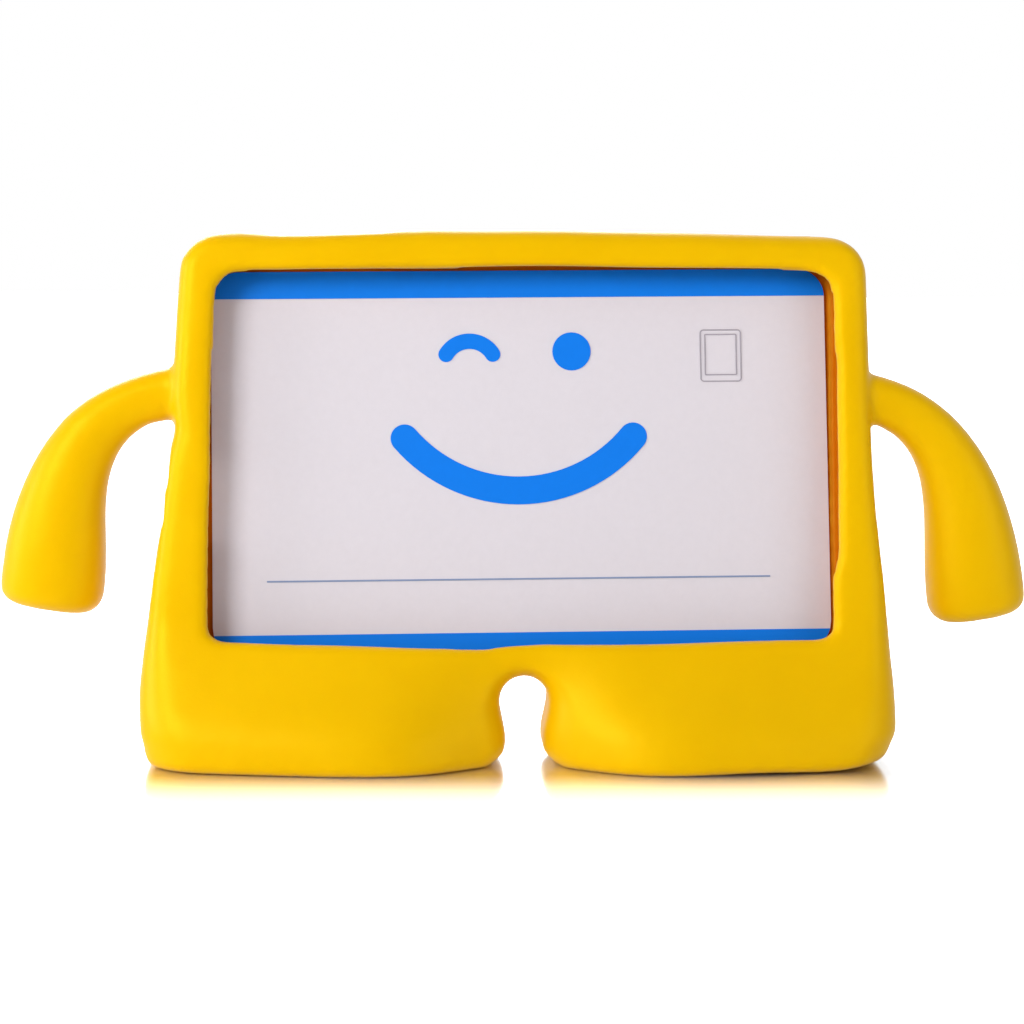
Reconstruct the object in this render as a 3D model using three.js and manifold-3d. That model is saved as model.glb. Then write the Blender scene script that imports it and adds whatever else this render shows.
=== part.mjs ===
// A child's tablet case: one piece of moulded EVA foam with two arms to carry it by and two broad
// feet to stand on. A printed card lies in the pocket where the tablet goes.
// Millimetres, +Z up, the front faces -Y, the feet stand on z = 0.
import * as THREE from "three";
import { mergeVertices } from "three/addons/utils/BufferGeometryUtils.js";
import Module from "manifold-3d";

// The tablet that the pocket is made for, and the foam round it.
const TABLET = { length: 192, height: 118.9, thickness: 9.5, corner: 8.5 };
const POCKET_CLEARANCE = 0.5; // foam to tablet, all round
const POCKET_EDGE_RADIUS = 0.8; // inside edges of the pocket
const LIP = { thickness: 4, edgeRadius: 2.4, corner: 4.5 };
const LIP_OVERLAP = { side: 4, top: 4.4, bottom: 2.9 }; // lip over the pocket
const BACK_WALL = 5;
const SIDE_WALL = 6.9; // beside the pocket, at the top
const TOP_WALL = 7.8;
const LEAN = THREE.MathUtils.degToRad(11.5); // the tablet leans back
const SOLE_TO_POCKET = 31.5; // along the leaning body, from the floor to the pocket's floor
const LEAN_FOOT_Y = -8.4; // where the body's middle plane meets the floor

// The outer skin.
const SIDE_EDGE_RADIUS = 6.5; // long edges of the upper body
const TOP_EDGE_RADIUS = 6;
const SHOULDER_RADIUS = 10.5; // the two top corners, seen from the front
const TOP_BOW = { rise: 1.6, from: 0.6 }; // the soft top bar stands up in the middle
const HIP_SPREAD = 10.4; // each side, from the shoulder to the hem
const HIP_CURVE = 1.4; // above 1 the sides spread more towards the hem
const HEM_HEIGHT = 10; // the skin is upright below this
const HEM_EDGE_RADIUS = 14; // upright corners of the feet
const SOLE_RADIUS = 5;
const SOLE_FLANK = { inset: 8, height: 13 }; // the outer ends of the sole are rounder
// Each end of the feet: how far it stands out at the hem, the height at which that starts, how
// full the slope is, how far the outer corner falls back, and the share that is hollowed out
// between the two feet, with the distance over which it fills again.
const TOE = { reach: 19, height: 43, fullness: 1.4, crown: 12, hollow: 1, fillsOver: 25 };
const HEEL = { reach: 22, height: 62, fullness: 1.6, crown: 7, hollow: 0.6, fillsOver: 25 };
const CROWN_CURVE = 1.8; // above 1 the corner falls back late

// The window in the front lip. The foam is soft: the right side stands out a little and bulges
// between two heights, over which the bulge comes and goes, and the lower edge sags on the left.
const WINDOW = { slack: 0.9, bulge: 2, comesBy: [54, 63], goesBy: [119, 130] };
const WINDOW_SAG = { depth: 0.9, at: -24, width: 20 };

// The gap between the feet.
const GAP = { top: 25.8, shoulder: 19, width: 15.7, neck: 12.2, neckHeight: 7.5, hemRadius: 5.5, offset: 1 };
const GAP_EDGE_RADIUS = 7;

// The arms, as half sizes across the arm, seen from the front and from the side.
const ARM = { height: 109, reach: 141.6, wrist: 41.9, endRadius: 7.1 };
const ARM_ROOT = { halfWidth: 7.45, halfDepth: 5.8, sunk: 3 };
const ARM_HAND = { halfWidth: 15, halfDepth: 13 };
const ARM_SWING = -2; // the hand hangs this far in front of the root
const ARM_BEND = { out: 36.2, drop: 6.1, lean: 3.8, rise: 19.8 }; // handles of the curve it follows
const ARM_WIDENS = { from: 0.1, to: 0.9 }; // shares of its length
const ARM_SQUARENESS = 2.35; // 2 is an ellipse

// Openings in the walls round the pocket.
const PLUG_SLOT = { from: 35, length: 26, width: 9 }; // left wall, up from the pocket's floor
const BUTTON_SLOT = { from: 17.5, length: 41, width: 8 }; // top wall, in from the pocket's left end
const CAMERA_HOLE = { radius: 6, inset: 12.5 }; // back wall, in from the pocket's left end

// The card that stands in for the tablet, and how much shorter and lower it is than one.
const CARD = { shorter: 5.1, lower: 2.65, thickness: 0.8, corner: 8.5, offset: 1.05 };
const CARD_SKEW = THREE.MathUtils.degToRad(0.75);
const SEAT_GAP = 0.3; // between the card and the foam that it rests on
const PRINT = { thickness: 0.15, gap: 0.05 };

// The printed areas, measured from the middle of the card, or in from its ends.
const SMILE = { x: -0.6, y: 36.2, radius: 45.3, width: 8.5, halfAngle: 0.872 };
const EYE = { x: 15.75, y: 33.2, radius: 5.85 };
const WINK = { x: -15.35, y: 28.3, radius: 8.25, width: 4.7, halfAngle: 1.03 };
const BANDS = { top: 8.25, bottom: 6.1 };
const RULE = { y: -35.9, fromLeft: 16.3, fromRight: 18.3, width: 0.5 };
const PICTOGRAM = { fromRight: 32.1, y: 31.6, width: 12.7, height: 16.1, corner: 1.2, line: 0.35 };
const PICTOGRAM_SCREEN = { side: 1.4, top: 1.4, bottom: 2, corner: 0.4 }; // in from the outline

// How finely the round forms are faceted.
const CORNER_STEPS = 6;
const FRONT_STEPS = 22;
const SIDE_STEPS = 14;
const ARM_STEPS = 13;
const ARM_SIDES = 28;

const pocket = {
  halfLength: TABLET.length / 2 + POCKET_CLEARANCE,
  floor: SOLE_TO_POCKET,
  ceiling: SOLE_TO_POCKET + TABLET.height + 2 * POCKET_CLEARANCE,
  depth: TABLET.thickness + POCKET_CLEARANCE,
  corner: TABLET.corner + POCKET_CLEARANCE,
};
const bodyDepth = LIP.thickness + pocket.depth + BACK_WALL;
const bodyTop = pocket.ceiling + TOP_WALL;
const shoulderHalf = pocket.halfLength + SIDE_WALL;
const pocketFront = -bodyDepth / 2 + LIP.thickness;
const pocketBack = pocketFront + pocket.depth;
const pocketMiddle = (pocketFront + pocketBack) / 2;
const card = { length: TABLET.length - CARD.shorter, height: TABLET.height - CARD.lower };

const wasm = await Module();
wasm.setup();

function solid(geometry) {
  const bare = geometry.clone();
  bare.deleteAttribute("normal");
  bare.deleteAttribute("uv");
  const merged = mergeVertices(bare, 1e-4);
  return new wasm.Manifold(
    new wasm.Mesh({
      numProp: 3,
      vertProperties: merged.attributes.position.array,
      triVerts: new Uint32Array(merged.index.array),
    }),
  );
}

function geometryOf(manifold) {
  const mesh = manifold.getMesh();
  const geometry = new THREE.BufferGeometry();
  geometry.setAttribute("position", new THREE.BufferAttribute(mesh.vertProperties, 3));
  geometry.setIndex(new THREE.BufferAttribute(mesh.triVerts, 1));
  const flat = geometry.toNonIndexed();
  flat.computeVertexNormals();
  return flat;
}

// A closed skin over rings of points, which all have as many points as the first, with flat ends.
function loft(rings) {
  const count = rings[0].length;
  const positions = rings.flat().flatMap((p) => [p.x, p.y, p.z]);
  const faces = [];
  for (let r = 0; r + 1 < rings.length; r++) {
    for (let i = 0; i < count; i++) {
      const a = r * count + i;
      const b = r * count + ((i + 1) % count);
      faces.push(a, b, b + count, a, b + count, a + count);
    }
  }
  const first = rings.length * count;
  for (const ring of [rings[0], rings.at(-1)]) {
    const middle = ring.reduce((sum, p) => sum.add(p), new THREE.Vector3()).divideScalar(count);
    positions.push(middle.x, middle.y, middle.z);
  }
  const lastRing = (rings.length - 1) * count;
  for (let i = 0; i < count; i++) {
    const next = (i + 1) % count;
    faces.push(first, next, i, first + 1, lastRing + i, lastRing + next);
  }
  const geometry = new THREE.BufferGeometry();
  geometry.setAttribute("position", new THREE.Float32BufferAttribute(positions, 3));
  geometry.setIndex(faces);
  const made = solid(geometry);
  if (made.volume() > 0) return made;
  const reversed = [];
  for (let i = 0; i < faces.length; i += 3) reversed.push(faces[i], faces[i + 2], faces[i + 1]);
  geometry.setIndex(reversed);
  return solid(geometry);
}

// How far a round edge of this radius is drawn in, at a distance from the face that it ends in.
function roundedInset(radius, distance) {
  const t = Math.min(Math.max(radius - distance, 0), radius);
  return radius - Math.sqrt(radius * radius - t * t);
}

const arcSteps = (radius, steps) =>
  Array.from({ length: steps + 1 }, (_, i) => radius * (1 - Math.cos((i / steps) * (Math.PI / 2))));

// From the leaning body's own measures to the part's frame: x across, along the body up from the
// floor, and depth back from its middle plane. The tilt is how far that depth leans with the body.
function place(x, along, depth, tilt = LEAN) {
  const share = THREE.MathUtils.smoothstep(along, bodyTop * TOP_BOW.from, bodyTop);
  const bow = TOP_BOW.rise * share * Math.max(0, 1 - (x / shoulderHalf) ** 2);
  const s = along + bow;
  return new THREE.Vector3(
    x,
    LEAN_FOOT_Y + s * Math.sin(LEAN) + depth * Math.cos(tilt),
    s * Math.cos(LEAN) - depth * Math.sin(tilt),
  );
}

// How much of a foot's slope is left at this height: all of it at the hem.
function hemShare(form, along) {
  const left = (height) => Math.max(0, 1 - height / form.height) ** form.fullness;
  return left(Math.max(along, HEM_HEIGHT)) / left(HEM_HEIGHT);
}

function halfWidthAt(along) {
  const down = THREE.MathUtils.clamp((bodyTop - along) / (bodyTop - HEM_HEIGHT), 0, 1);
  return shoulderHalf + HIP_SPREAD * down ** HIP_CURVE;
}

// How far a foot stands out from the flat upper body at a point of its front or back.
function footReach(form, x, along) {
  const filled = 1 - form.hollow * Math.exp(-((x / form.fillsOver) ** 2));
  const corner = form.crown * Math.abs(x / halfWidthAt(along)) ** CROWN_CURVE;
  return (form.reach * filled - corner) * hemShare(form, along);
}

// The front and back skin, as depths from the middle plane. Below the hem they stand upright, so
// they fall back along the leaning plane.
function skinAt(x, along) {
  const upright = Math.max(0, HEM_HEIGHT - along) * Math.sin(LEAN);
  return {
    front: -bodyDepth / 2 - footReach(TOE, x, along) + upright,
    back: bodyDepth / 2 + footReach(HEEL, x, along) + upright,
  };
}

const tiltAt = (along) => LEAN * THREE.MathUtils.smoothstep(along, HEM_HEIGHT, HEEL.height);

// One cross-section of the body: a rounded rectangle whose front and back then move out to the
// skin of the feet.
function bodyRing(along) {
  const fromTop = bodyTop - along;
  const sole = roundedInset(SOLE_RADIUS, along);
  const flank = SOLE_FLANK.inset * roundedInset(1, along / SOLE_FLANK.height);
  const half = halfWidthAt(along) - flank - roundedInset(SHOULDER_RADIUS, fromTop);
  const edge = sole + roundedInset(TOP_EDGE_RADIUS, fromTop);
  const front = edge - bodyDepth / 2 - TOE.reach * hemShare(TOE, along);
  const back = bodyDepth / 2 + HEEL.reach * hemShare(HEEL, along) - edge;
  const wanted = THREE.MathUtils.lerp(SIDE_EDGE_RADIUS, HEM_EDGE_RADIUS, hemShare(HEEL, along));
  const radius = Math.min(wanted, (back - front) / 2 - 0.2);
  const outline = [];
  const corners = [
    { x: half - radius, d: back - radius, start: 0 },
    { x: radius - half, d: back - radius, start: Math.PI / 2 },
    { x: radius - half, d: front + radius, start: Math.PI },
    { x: half - radius, d: front + radius, start: 1.5 * Math.PI },
  ];
  corners.forEach((corner, k) => {
    for (let i = 0; i <= CORNER_STEPS; i++) {
      const angle = corner.start + (i / CORNER_STEPS) * (Math.PI / 2);
      outline.push([corner.x + radius * Math.cos(angle), corner.d + radius * Math.sin(angle)]);
    }
    if (k % 2 === 1) return;
    const [x, d] = outline.at(-1);
    for (let i = 1; i < FRONT_STEPS; i++) {
      // Closer together in the middle, where the skin turns into the gap.
      const share = 1 - (2 * i) / FRONT_STEPS;
      outline.push([x * Math.sign(share) * Math.abs(share) ** 1.4, d]);
    }
  });
  return outline.map(([x, d]) => {
    const skin = skinAt(x, along);
    const share = (d - front) / (back - front);
    return place(x, along, THREE.MathUtils.lerp(skin.front + edge, skin.back - edge, share), tiltAt(along));
  });
}

function body() {
  const levels = [
    ...arcSteps(SOLE_RADIUS, 4),
    (SOLE_RADIUS + HEM_HEIGHT) / 2,
    HEM_HEIGHT,
    ...[0.12, 0.25, 0.38, 0.52, 0.68, 0.84, 1].map((t) =>
      THREE.MathUtils.lerp(HEM_HEIGHT, HEEL.height, t),
    ),
    ...[0.2, 0.4, 0.6, 0.8].map((t) =>
      THREE.MathUtils.lerp(HEEL.height, bodyTop - SHOULDER_RADIUS, t),
    ),
    ...arcSteps(SHOULDER_RADIUS, 6)
      .map((d) => bodyTop - d)
      .reverse(),
  ];
  return loft(levels.map(bodyRing));
}

// A point on the body's front skin, moved into the foam by a depth square to the middle plane.
const onFront = (x, along, inwards) => place(x, along, skinAt(x, along).front + inwards);

// A closed outline moved outwards, square to itself. It runs anticlockwise as seen from the front.
function grown(outline, by) {
  return outline.map((point, i) => {
    const before = outline.at(i - 1);
    const after = outline[(i + 1) % outline.length];
    const along = new THREE.Vector2().subVectors(after, before).normalize();
    return new THREE.Vector2(point.x + along.y * by, point.y - along.x * by);
  });
}

// A rounded rectangle in x and height, anticlockwise, with its long sides in many steps.
function roundedOutline(half, low, high, corner, sideSteps) {
  const points = [];
  const corners = [
    { x: half - corner, y: low + corner, start: -Math.PI / 2 },
    { x: half - corner, y: high - corner, start: 0 },
    { x: corner - half, y: high - corner, start: Math.PI / 2 },
    { x: corner - half, y: low + corner, start: Math.PI },
  ];
  corners.forEach((c, k) => {
    for (let i = 0; i <= CORNER_STEPS; i++) {
      const angle = c.start + (i / CORNER_STEPS) * (Math.PI / 2);
      points.push(
        new THREE.Vector2(c.x + corner * Math.cos(angle), c.y + corner * Math.sin(angle)),
      );
    }
    const next = corners[(k + 1) % 4];
    const from = points.at(-1).clone();
    const to = new THREE.Vector2(
      next.x + corner * Math.cos(next.start),
      next.y + corner * Math.sin(next.start),
    );
    for (let i = 1; i < sideSteps; i++) points.push(from.clone().lerp(to, i / sideSteps));
  });
  return points;
}

function windowOutline() {
  const half = pocket.halfLength - LIP_OVERLAP.side;
  const low = pocket.floor + LIP_OVERLAP.bottom;
  const high = pocket.ceiling - LIP_OVERLAP.top;
  return roundedOutline(half, low, high, LIP.corner, SIDE_STEPS).map((p) => {
    const comes = THREE.MathUtils.smoothstep(p.y, ...WINDOW.comesBy);
    const goes = THREE.MathUtils.smoothstep(p.y, ...WINDOW.goesBy);
    const outwards = THREE.MathUtils.smoothstep(p.x, half - LIP.corner, half);
    const dip = Math.exp(-(((p.x - WINDOW_SAG.at) / WINDOW_SAG.width) ** 2));
    const sagging = 1 - THREE.MathUtils.smoothstep(p.y, low, low + LIP.corner);
    return new THREE.Vector2(
      p.x + outwards * (WINDOW.slack + WINDOW.bulge * (comes - goes)),
      p.y - WINDOW_SAG.depth * dip * sagging,
    );
  });
}

// An opening through the front lip with a rounded mouth that follows the front skin.
function windowCutter() {
  const outline = windowOutline();
  const mouth = arcSteps(LIP.edgeRadius, 4);
  const rings = [
    { by: LIP.edgeRadius, inwards: -TOE.reach },
    ...mouth.map((inwards) => ({ by: roundedInset(LIP.edgeRadius, inwards), inwards })),
    { by: 0, inwards: LIP.thickness + pocket.depth / 2 },
  ];
  return loft(
    rings.map(({ by, inwards }) => grown(outline, by).map((p) => onFront(p.x, p.y, inwards))),
  );
}

function pocketCutter() {
  const { halfLength, floor, ceiling, corner } = pocket;
  const outline = roundedOutline(halfLength, floor, ceiling, corner, SIDE_STEPS);
  const edge = arcSteps(POCKET_EDGE_RADIUS, 3).map((inwards) => ({
    by: -roundedInset(POCKET_EDGE_RADIUS, inwards),
    inwards,
  }));
  const rings = [
    ...edge.map(({ by, inwards }) => ({ by, depth: pocketFront + inwards })),
    ...edge.map(({ by, inwards }) => ({ by, depth: pocketBack - inwards })).reverse(),
  ];
  return loft(
    rings.map(({ by, depth }) => grown(outline, by).map((p) => place(p.x, p.y, depth))),
  );
}

// Half of the gap's outline, from below the floor up to the crown of its arch.
function gapHalfOutline() {
  const half = GAP.width / 2;
  const neck = GAP.neck / 2;
  const hem = new THREE.CubicBezierCurve(
    new THREE.Vector2(neck + GAP.hemRadius, 0),
    new THREE.Vector2(neck + GAP.hemRadius * 0.4, 0.6),
    new THREE.Vector2(neck, GAP.hemRadius * 0.4),
    new THREE.Vector2(neck, GAP.neckHeight),
  );
  const side = new THREE.CubicBezierCurve(
    new THREE.Vector2(neck, GAP.neckHeight),
    new THREE.Vector2(neck, (GAP.neckHeight + GAP.shoulder) / 2),
    new THREE.Vector2(half, (GAP.neckHeight + GAP.shoulder) / 2),
    new THREE.Vector2(half, GAP.shoulder),
  );
  const arch = new THREE.EllipseCurve(
    0, GAP.shoulder, half, GAP.top - GAP.shoulder, 0, Math.PI / 2,
  );
  const below = new THREE.Vector2(neck + GAP.hemRadius, -SOLE_RADIUS);
  return [
    below,
    ...hem.getPoints(6),
    ...side.getPoints(6).slice(1),
    ...arch.getPoints(8).slice(1),
  ];
}

// The gap is cut through with its mouth rounded into the front and back skins.
function gapCutter() {
  const right = gapHalfOutline();
  const left = right
    .slice(0, -1)
    .reverse()
    .map((p) => new THREE.Vector2(-p.x, p.y));
  const outline = [...right, ...left];
  const mouth = arcSteps(GAP_EDGE_RADIUS, 5);
  const half = mouth.map((inwards) => ({ by: roundedInset(GAP_EDGE_RADIUS, inwards), inwards }));
  const rings = [
    { by: GAP_EDGE_RADIUS, inwards: -TOE.reach, skin: "front" },
    ...half.map((ring) => ({ ...ring, skin: "front" })),
    ...half.map((ring) => ({ ...ring, skin: "back" })).reverse(),
    { by: GAP_EDGE_RADIUS, inwards: -HEEL.reach, skin: "back" },
  ];
  return loft(
    rings.map(({ by, inwards, skin }) =>
      grown(outline, by).map((p) => {
        const along = p.y / Math.cos(LEAN);
        const { front, back } = skinAt(p.x, along);
        return place(p.x + GAP.offset, along, skin === "front" ? front + inwards : back - inwards, 0);
      }),
    ),
  );
}

// One arm: a tapering sweep that leaves the side level, turns down and widens into the hand.
function arm(side) {
  const root = halfWidthAt(ARM.height / Math.cos(LEAN));
  const rootY = LEAN_FOOT_Y + ARM.height * Math.tan(LEAN);
  const handY = rootY + ARM_SWING;
  const bend = new THREE.CubicBezierCurve3(
    new THREE.Vector3(root - ARM_ROOT.sunk, rootY, ARM.height),
    new THREE.Vector3(root + ARM_BEND.out, rootY, ARM.height - ARM_BEND.drop),
    new THREE.Vector3(ARM.reach - ARM_BEND.lean, handY, ARM.wrist + ARM_BEND.rise),
    new THREE.Vector3(ARM.reach, handY, ARM.wrist),
  );
  const length = bend.getLength();
  const straight = length - ARM.endRadius;
  const stations = [
    ...Array.from({ length: ARM_STEPS }, (_, i) => (i / ARM_STEPS) * straight),
    ...arcSteps(ARM.endRadius, 5).map((d) => length - d).reverse(),
  ];
  const rings = stations.map((at) => {
    const u = Math.min(at / length, 1);
    const centre = bend.getPointAt(u);
    const across = new THREE.Vector3(0, 1, 0).cross(bend.getTangentAt(u)).normalize();
    const widen = THREE.MathUtils.smoothstep(u, ARM_WIDENS.from, ARM_WIDENS.to);
    const inset = roundedInset(ARM.endRadius, length - at);
    const w = THREE.MathUtils.lerp(ARM_ROOT.halfWidth, ARM_HAND.halfWidth, widen) - inset;
    const d = THREE.MathUtils.lerp(ARM_ROOT.halfDepth, ARM_HAND.halfDepth, widen) - inset;
    return armSection(w, d).map(([a, b]) => {
      const p = centre.clone().addScaledVector(across, a);
      return new THREE.Vector3(side * p.x, p.y + b, p.z);
    });
  });
  return loft(rings);
}

// A section between an ellipse and a rounded square.
function armSection(halfWidth, halfDepth) {
  return Array.from({ length: ARM_SIDES }, (_, i) => {
    const angle = (i / ARM_SIDES) * 2 * Math.PI;
    const c = Math.cos(angle);
    const s = Math.sin(angle);
    return [
      halfWidth * Math.sign(c) * Math.abs(c) ** (2 / ARM_SQUARENESS),
      halfDepth * Math.sign(s) * Math.abs(s) ** (2 / ARM_SQUARENESS),
    ];
  });
}

// A slot with round ends, given by the two points between which it runs and its width.
function slotShape(from, to, width) {
  const shape = new THREE.Shape();
  const r = width / 2;
  shape.absarc(to - r, 0, r, -Math.PI / 2, Math.PI / 2, false);
  shape.absarc(from + r, 0, r, Math.PI / 2, 1.5 * Math.PI, false);
  shape.closePath();
  return shape;
}

const leaning = (geometry) =>
  geometry.applyMatrix4(
    new THREE.Matrix4()
      .makeTranslation(0, LEAN_FOOT_Y, 0)
      .multiply(new THREE.Matrix4().makeRotationX(-LEAN)),
  );

function plugSlotCutter() {
  const from = pocket.floor + PLUG_SLOT.from;
  const shape = slotShape(from, from + PLUG_SLOT.length, PLUG_SLOT.width);
  const depth = SIDE_WALL + HIP_SPREAD + pocket.corner;
  const geometry = new THREE.ExtrudeGeometry(shape, { depth, bevelEnabled: false });
  // The slot's length runs up the body, its width through the body's depth.
  geometry.applyMatrix4(
    new THREE.Matrix4().makeBasis(
      new THREE.Vector3(0, 0, 1),
      new THREE.Vector3(0, 1, 0),
      new THREE.Vector3(-1, 0, 0),
    ),
  );
  geometry.translate(-pocket.halfLength + pocket.corner, pocketMiddle, 0);
  return solid(leaning(geometry));
}

function buttonSlotCutter() {
  const from = -pocket.halfLength + BUTTON_SLOT.from;
  const shape = slotShape(from, from + BUTTON_SLOT.length, BUTTON_SLOT.width);
  const depth = TOP_WALL + TOP_BOW.rise + 2 * pocket.corner;
  const geometry = new THREE.ExtrudeGeometry(shape, { depth, bevelEnabled: false });
  geometry.translate(0, pocketMiddle, pocket.ceiling - pocket.corner);
  return solid(leaning(geometry));
}

function cameraHoleCutter() {
  const middle = (pocket.floor + pocket.ceiling) / 2;
  const geometry = new THREE.CylinderGeometry(
    CAMERA_HOLE.radius, CAMERA_HOLE.radius, 2 * BACK_WALL, 24,
  );
  geometry.translate(-pocket.halfLength + CAMERA_HOLE.inset, pocketBack + BACK_WALL / 2, middle);
  return solid(leaning(geometry));
}

function caseSolid() {
  return body()
    .add(arm(1))
    .add(arm(-1))
    .subtract(pocketCutter())
    .subtract(windowCutter())
    .subtract(gapCutter())
    .subtract(plugSlotCutter())
    .subtract(buttonSlotCutter())
    .subtract(cameraHoleCutter());
}

const foam = new THREE.MeshStandardMaterial({ color: "#f7bb05", roughness: 0.55, metalness: 0 });
const coatedCard = new THREE.MeshStandardMaterial({ color: "#ded4d8", roughness: 0.4, metalness: 0 });
const blueInk = new THREE.MeshStandardMaterial({ color: "#1277dc", roughness: 0.4, metalness: 0 });
const paleBlueInk = new THREE.MeshStandardMaterial({ color: "#8ea4d2", roughness: 0.4, metalness: 0 });
const greyInk = new THREE.MeshStandardMaterial({ color: "#a39da6", roughness: 0.4, metalness: 0 });

function cardShape() {
  return new THREE.Shape(roundedOutline(card.length / 2, 0, card.height, CARD.corner, 1));
}

// A stroke of even width with round ends, along an arc that is turned up or down from its centre.
function strokeShape({ x: cx, y, radius, width, halfAngle }, towards) {
  const r = width / 2;
  const cy = card.height / 2 + y;
  const start = towards - halfAngle;
  const end = towards + halfAngle;
  const shape = new THREE.Shape();
  const at = (angle) => [cx + radius * Math.cos(angle), cy + radius * Math.sin(angle)];
  shape.absarc(cx, cy, radius + r, start, end, false);
  shape.absarc(...at(end), r, end, end + Math.PI, false);
  shape.absarc(cx, cy, radius - r, end, start, true);
  shape.absarc(...at(start), r, start + Math.PI, start + 2 * Math.PI, false);
  return shape;
}

function topBandShape() {
  const { length, height } = card;
  const { corner } = CARD;
  const start = Math.asin((corner - BANDS.top) / corner);
  const shape = new THREE.Shape();
  shape.absarc(length / 2 - corner, height - corner, corner, start, Math.PI / 2, false);
  shape.absarc(corner - length / 2, height - corner, corner, Math.PI / 2, Math.PI - start, false);
  return shape;
}

function bottomBandShape() {
  const { length } = card;
  const { corner } = CARD;
  const start = Math.asin((corner - BANDS.bottom) / corner);
  const shape = new THREE.Shape();
  shape.absarc(corner - length / 2, corner, corner, Math.PI + start, 1.5 * Math.PI, false);
  shape.absarc(length / 2 - corner, corner, corner, 1.5 * Math.PI, 2 * Math.PI - start, false);
  return shape;
}

function lineFrameShape(halfWidth, low, high, corner) {
  const shape = new THREE.Shape(roundedOutline(halfWidth, low, high, corner, 1));
  const inner = Math.max(corner - PICTOGRAM.line, 0.1);
  const { line } = PICTOGRAM;
  const hole = roundedOutline(halfWidth - line, low + line, high - line, inner, 1);
  shape.holes.push(new THREE.Path(hole.reverse()));
  return shape;
}

function movedShape(shape, x) {
  const shift = (p) => new THREE.Vector2(p.x + x, p.y);
  const { shape: points, holes } = shape.extractPoints(1);
  const moved = new THREE.Shape(points.map(shift));
  moved.holes = holes.map((hole) => new THREE.Path(hole.map(shift)));
  return moved;
}

function roundShape({ x, y, radius }) {
  const shape = new THREE.Shape();
  shape.absarc(x, card.height / 2 + y, radius, 0, 2 * Math.PI, false);
  return shape;
}

function printedAreas() {
  const up = Math.PI / 2;
  const ruleLow = card.height / 2 + RULE.y - RULE.width / 2;
  const ruleHalf = (card.length - RULE.fromLeft - RULE.fromRight) / 2;
  const rule = roundedOutline(ruleHalf, ruleLow, ruleLow + RULE.width, RULE.width / 5, 1);
  const low = card.height / 2 + PICTOGRAM.y - PICTOGRAM.height / 2;
  const high = low + PICTOGRAM.height;
  const half = PICTOGRAM.width / 2;
  const pictogramX = card.length / 2 - PICTOGRAM.fromRight;
  const { side, top, bottom, corner } = PICTOGRAM_SCREEN;
  const outline = lineFrameShape(half, low, high, PICTOGRAM.corner);
  const screen = lineFrameShape(half - side, low + bottom, high - top, corner);
  return [
    ["top_band", topBandShape(), blueInk],
    ["bottom_band", bottomBandShape(), blueInk],
    ["smile", strokeShape(SMILE, -up), blueInk],
    ["open_eye", roundShape(EYE), blueInk],
    ["winking_eye", strokeShape(WINK, up), blueInk],
    ["ruled_line", movedShape(new THREE.Shape(rule), (RULE.fromLeft - RULE.fromRight) / 2), paleBlueInk],
    ["tablet_outline", movedShape(outline, pictogramX), greyInk],
    ["screen_outline", movedShape(screen, pictogramX), greyInk],
  ];
}

// An extrusion of a shape drawn on the card, whose front face is this far in front of the back of
// the card.
function sheet(shape, front, thickness) {
  const geometry = new THREE.ExtrudeGeometry(shape, {
    depth: thickness, bevelEnabled: false, curveSegments: 16,
  });
  geometry.rotateX(Math.PI / 2);
  geometry.translate(0, -front + thickness, 0);
  return geometry;
}

function cardGroup() {
  const group = new THREE.Group();
  const board = new THREE.Mesh(sheet(cardShape(), CARD.thickness, CARD.thickness), coatedCard);
  board.name = "display_card";
  group.add(board);
  const printFront = CARD.thickness + PRINT.gap + PRINT.thickness;
  for (const [name, shape, ink] of printedAreas()) {
    const mesh = new THREE.Mesh(sheet(shape, printFront, PRINT.thickness), ink);
    mesh.name = name;
    group.add(mesh);
  }
  // Skewed a little, it stands on its lower left corner.
  const drop = (card.length / 2 - CARD.corner) * Math.sin(CARD_SKEW);
  const floor = pocket.floor + SEAT_GAP + drop + CARD.corner * (1 - Math.cos(CARD_SKEW));
  group.rotation.y = -CARD_SKEW;
  group.position.set(CARD.offset, pocketBack - SEAT_GAP, floor);
  return group;
}

const tabletCase = new THREE.Mesh(geometryOf(caseSolid()), foam);
tabletCase.name = "case";

const leaningGroup = new THREE.Group();
leaningGroup.rotation.x = -LEAN;
leaningGroup.position.y = LEAN_FOOT_Y;
leaningGroup.add(cardGroup());

const part = new THREE.Group();
part.add(tabletCase, leaningGroup);

export default part;
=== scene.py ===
# A child's tablet case of yellow foam with a printed card in its pocket, dressed for a studio
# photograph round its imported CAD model. Shapes are worked out in millimetres, like the CAD model,
# and a finished mesh is scaled to metres.
from math import copysign, cos, exp, hypot, pi, radians, sin, sqrt, tan

import bmesh
import bpy
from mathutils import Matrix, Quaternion, Vector, noise
from mathutils.geometry import interpolate_bezier


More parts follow.
